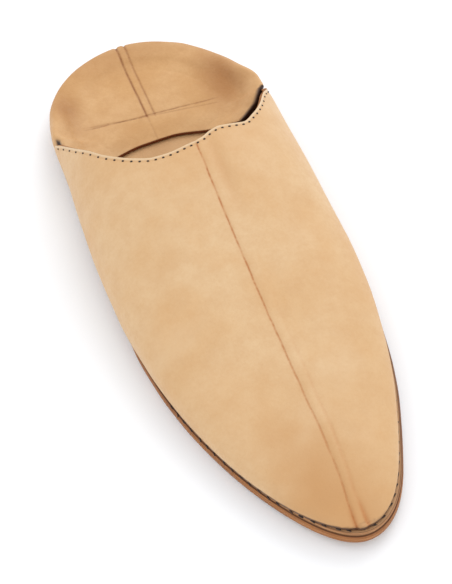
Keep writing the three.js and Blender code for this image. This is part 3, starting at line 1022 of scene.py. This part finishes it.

# %% [markdown]
# The pressed lines are brown where the surface cracked, the hollows are painted a darker tan as
# painted shade, the rim round the back of the heel is painted darker as shade, and the free edge is
# raw: dark, dry and rough, which is why it reads as a drawn line. Where the wall goes inside the
# vamp, a mask darkens it, since little light gets into the gap. The masks of
# the pressed lines use the very functions that press them into the shape.

# %% Quarter finish
def quarter_leather():
    f, where, clouds, mottle, specks, grain = hide("quarter_leather", (0, 90, 0))
    x, at = f.chart("plan")
    wobble = (f.noise(where, 11, 2) - 0.5) * 0.8
    broken = f.noise(where, 4.5, 3, 0.7).step(0.28, 0.6)
    behind = at.step(53, 50)
    marks, presses = 0.0, 0.0
    for k, strength, ahead in ((0, 1.0, 0.25), (1, 0.9, 0.0)):
        line = (long_line(x, at, k) + wobble * 0.5).bell(0.5) * strength * (behind * 0.75 + ahead)
        marks = marks + line * (0.45 + 0.55 * broken)
        presses = presses + line
    for k, strength in ((0, 0.8), (1, 0.45)):
        line = (cross_line(x, at, k) + wobble).bell(0.45) * (x + 1.0).size().step(33, 25) * strength
        marks = marks + line * (0.3 + 0.6 * broken)
        presses = presses + line
    # Painted shade in the hollows beside the rims, made uneven by a noise.
    uneven = f.noise(where, 7.0, 3, 0.6) * 0.5 + 0.75
    hollow_shade = (oval(x, at, 35, 42, 9, 20) + oval(x, at, -36, 34, 6, 14) * 0.75) * uneven
    climb, station = f.chart("fold")
    inside = x.step(20, 30) * station.step(59.4, 60.4) * climb.step(13.4, 11.2)
    inside = inside + x.step(-20, -30) * station.step(54.3, 55.4) * climb.step(11.4, 9.2)
    color = f.coats(
        tan(f, clouds, mottle, specks, rgb(216, 173, 123), rgb(207, 160, 106), rgb(182, 128, 72)),
        (hollow_shade * 0.66, rgb(156, 98, 44)),
        # Painted shade on the rim round the back of the heel.
        (at.step(26.0, 7.0) * 0.42, rgb(176, 126, 78)),
        (inside, rgb(52, 24, 9)),
        (marks * 0.85, rgb(140, 84, 40)),
    )
    creped = f.noise(where, 2.4, 3)
    relief = grain + creped * 0.16 - presses * 0.2 + mottle * 0.05
    return f.finish(color, 0.52 + specks * 0.1, relief, 0.38)


def raw_edge():
    f = Finish("raw_edge")
    fibre = f.noise(f.spot(), 0.7, 4, 0.7)
    color = f.blend(fibre.step(0.3, 0.7), rgb(112, 52, 18), rgb(142, 78, 34))
    return f.finish(color, 0.85, fibre * 0.3)


quarter_finish = quarter_leather()
raw_finish = raw_edge()
points, quads, kinds, owner = shell(
    quarter_out, quarter_in, ("last", "start", "end"), {"last": outward_from(quarter_out, -1)}
)
piece(
    "heel_quarter_folded", points, quads, [quarter_finish, lining_finish, raw_finish], "quarter_leather",
    "heel_quarter", kinds=kinds, maps={"plan": uv(q_x, q_at)[owner], "fold": uv(q_climb, q_at)[owner]},
)

# %% [markdown]
# ## Layers underfoot
# Insole, midsole and outsole are sheets of leather cut to an outline. A knife cuts them from
# flat stock, so each is an edge profile carried round its outline, then closed over the top and
# the bottom. The rings shrink straight towards the centre plane, which keeps long narrow faces
# from meeting in one point.

# %% A layer of leather
FILLS = (0.12, 0.3, 0.5, 0.7, 0.86, 1.0)  # shares of the way in, ring by ring
END_ROOM = 3.5  # the innermost ring stops this far from the heel and the toe


def outline(table, inset, count=300):
    """Round the foot from the heel, left side first: x, at, outward x and at."""
    turn = np.linspace(0, 2 * np.pi, count + 1)
    first, last_at = table["at"][0], table["at"][-1]
    at = (first + last_at) / 2 - (last_at - first) / 2 * np.cos(turn)
    side = np.where(turn <= np.pi, -1.0, 1.0)
    x = side * half_width(table, side, at)
    x[[0, -1]] = 0
    x[count // 2] = 0
    dx, dat = np.gradient(x), np.gradient(at)
    dx[[0, -1]], dat[[0, -1]] = -1, 0
    size = np.hypot(dx, dat)
    out_x, out_at = -dat / size, dx / size
    return x + out_x * -inset, at - out_at * inset, out_x, out_at, at


def layer(name, table, inset, low, high, edge, finish):
    """edge is rows of (further inset, share of the height) from the bottom to the top."""
    x, at, out_x, out_at, _ = outline(table, inset)
    first, last_at = table["at"][0] + inset + END_ROOM, table["at"][-1] - inset - END_ROOM
    turn = np.linspace(0, 2 * np.pi, len(x))
    plain_at = (first + last_at) / 2 - (last_at - first) / 2 * np.cos(turn)

    def shrunk(ring, shares):
        ring_x, ring_at, ring_z = ring
        return [(ring_x * (1 - s), ring_at + (plain_at - ring_at) * s, ring_z) for s in shares]

    rim = [(x - out_x * more, at - out_at * more, low + (high - low) * up + 0 * x) for more, up in edge]
    rings = shrunk(rim[0], FILLS[::-1]) + rim + shrunk(rim[-1], FILLS)
    gx, gat, gz = (np.stack(v) for v in zip(*rings))
    points = place(gx, gat, gz + ground(gat))
    run = np.concatenate([[0], np.cumsum(np.hypot(np.diff(x), np.diff(at)))])
    chart = uv(np.broadcast_to(run, gx.shape), gz)
    points, faces = points.reshape(-1, 3), grid_faces(*gx.shape)
    piece(name + "_layer", points, faces, [finish], name + "_leather", name, maps={"rim": chart})


# %% [markdown]
# The cut edge of sole leather is where its fibres show. It is stained brown, burnished until it
# shines a little, and streaked along its length where fibres of one layer lie in a bundle.
# The streaks are noises stretched along the edge in the piece's own UV map. The top and bottom of
# each edge carry painted shade, dark brown, for the gaps between the layers and along the floor,
# and the edges on the right side are darker.

# %% Sole finishes
def sole_leather(name, shift, low, high, face, dark, edge_light, edge_dark):
    f, _, clouds, mottle, specks, grain = hide(name, shift)
    run, z = f.chart("rim")
    flat = f.coats(face, (clouds * 0.6, dark), (mottle * 0.35, dark))
    streak = f.noise(f.join(run * 0.05, z * 2.4, 3.0), 1.0, 4, 0.65).step(0.34, 0.66)
    bundle = f.noise(f.join(run * 0.012, z * 0.8, 9.0), 1.0, 2, 0.5).step(0.35, 0.65)
    # Painted shade: the top and bottom of each edge turn dark brown, for the gaps between the layers and
    # along the floor.
    rim = ((z - low).size() * (z - high).size() * (4 / (high - low) ** 2)).step(0.42, 0.05)
    # Edges on the right side are darker.
    darker_right = f.parts(f.spot())[0].step(12, 40) * (bundle * 0.4 + 0.35)
    side = f.coats(
        edge_light,
        (streak * 0.75, edge_dark),
        (bundle * 0.4, edge_dark),
        (rim * 0.85, rgb(78, 42, 20)),
        (darker_right, rgb(84, 46, 22)),
    )
    on_edge = ((z - low).step(0.0, 0.05) * (z - high).step(0.0, -0.05)).clamp()
    relief = grain * 1.2 + streak * 0.12 * on_edge + mottle * 0.08
    color = f.blend(on_edge, flat, side)
    return f.finish(color, 0.55 + specks * 0.12, relief, 0.35)


OUT_EDGE = (
    (1.0, 0), (0.45, 0.03), (0.12, 0.14), (0, 0.3), (0, 0.5), (0.02, 0.7), (0.15, 0.87),
    (0.45, 0.97), (0.9, 1),
)
MID_EDGE = ((0.5, 0), (0.2, 0.08), (0.03, 0.28), (0, 0.5), (0.05, 0.74), (0.25, 0.93), (0.55, 1))
# Name, outline and its inset, bottom and top, edge, the hide's shift, and four colours: the
# face, its dark parts, the cut edge and its streaks.
SHEETS = (
    ("outsole", SOLE, 0, 0, 4, OUT_EDGE, 200,
     (176, 132, 90), (140, 98, 62), (196, 132, 76), (124, 72, 36)),
    ("midsole", SOLE, 0.6, 4.3, 6, MID_EDGE, 260,
     (196, 152, 110), (160, 114, 74), (208, 156, 108), (140, 88, 48)),
    ("insole", BODY, 10.6, 6.3, 8.3, MID_EDGE, 320,
     (216, 172, 124), (196, 150, 102), (190, 142, 96), (150, 104, 62)),
)
for name, table, inset, low, high, edge, shift, *colors in SHEETS:
    finish = sole_leather(name + "_leather", (0, shift, 0), low, high, *[rgb(*c) for c in colors])
    layer(name, table, inset, low, high, edge, finish)

# %% [markdown]
# ## Stitching round the toe
# The upper is sewn down through the midsole with short stitches that show only where the
# sole's edge does: round the toe. They sit in the groove at the foot of the wall, so they
# follow the upper's outline, each slanted a little outwards, towards the sole's edge.

# %% Toe seam
SEAM_FROM = (196.0, 200.0)  # stations where the stitches begin to show, left and right


def toe_seam():
    """Foot of the upper's wall from the left waist round the toe to the right waist."""
    x, at, out_x, out_at, station = outline(BODY, 0.1, 900)
    tuck = 3.4 - 3.4 * smooth(110, 190, station)
    line = place(x - out_x * tuck, at - out_at * tuck, 6.5 + ground(at))
    outward = np.stack([out_x, -out_at, 0 * x], -1)
    starts = np.where(np.arange(len(x)) <= len(x) // 2, *SEAM_FROM)
    return np.concatenate([line, outward], -1)[station > starts]


seam, along = spaced(toe_seam(), TOE_PITCH, 2, 2)
out = unit(seam[:, 3:])
tilt = random.uniform(0.05, 0.5, len(seam))[:, None]
jitter = random.uniform(-0.7, 0.7, len(seam))[:, None] * along
direction = unit(along + out * tilt)
up = unit(np.cross(direction, np.cross(np.broadcast_to([0.0, 0, 1], direction.shape), direction)))
seam_points, seam_quads = capsules(seam[:, :3] + jitter + out * 0.05, direction, up, *TOE_BEAD)
piece("toe_stitch", seam_points, seam_quads, [thread], "upper_leather")
print(len(seam), "stitches round the toe")

# %% [markdown]
# ## Floor, light and camera
# A pale floor and a white sky give the soft, nearly shadowless light of a light tent. One large
# panel above, behind and to the right of the shoe adds the direction: it brightens the right
# side and leaves a soft shadow on the left. The camera looks down at about fifty degrees.

# %% Studio
FLOOR = 30  # metres from the middle to each side
FOCAL = 84.9  # millimetres


def studio():
    floor = bpy.data.meshes.new("floor")
    corners = [(-FLOOR, -FLOOR, 0), (FLOOR, -FLOOR, 0), (FLOOR, FLOOR, 0), (-FLOOR, FLOOR, 0)]
    floor.from_pydata(corners, [], [(0, 1, 2, 3)])
    made = add("floor", floor)
    f = Finish("floor_paper")
    cloud = f.noise(f.spot(), 300, 2)
    color = f.blend(cloud, rgb(246, 248, 251), rgb(247, 249, 252))
    glow = {"Emission Color": (1, 1, 1, 1), "Emission Strength": 0.07}
    floor.materials.append(f.finish(color, 0.9, cloud * 0.01, **glow))
    world = bpy.data.worlds.new("tent")
    world.use_nodes = True
    world.node_tree.nodes["Background"].inputs["Color"].default_value = (1, 1, 1, 1)
    world.node_tree.nodes["Background"].inputs["Strength"].default_value = 1.04
    bpy.context.scene.world = world
    bpy.context.scene.view_settings.view_transform = "Standard"


def panel(name, position, target, size, power):
    lamp = bpy.data.lights.new(name, "AREA")
    lamp.shape = "DISK"
    lamp.size = size
    lamp.energy = power
    made = add(name, lamp)
    made.location = position
    made.rotation_euler = (Vector(target) - Vector(position)).to_track_quat("-Z", "Y").to_euler()


studio()
panel("key_panel", (0.8, 0.75, 1.1), (0, 0, 0), 0.9, 4.6)

CAMERA_AT = place(-109.95, 487.1, 435.1) * MM
AIM_AT = place(-8.66, 161.7, 15) * MM
ROLL = np.radians(-4.98)
look = Vector(AIM_AT) - Vector(CAMERA_AT)
turned = look.to_track_quat("-Z", "Y").to_matrix().to_4x4() @ Matrix.Rotation(float(ROLL), 4, "Z")
lens = bpy.data.cameras.new("camera")
lens.lens = FOCAL
lens.clip_start = 0.05
lens.clip_end = 20
camera = add("camera", lens)
camera.matrix_world = Matrix.Translation(Vector(CAMERA_AT)) @ turned
bpy.context.scene.camera = camera
print("camera", round(look.length, 3), "m from the shoe")
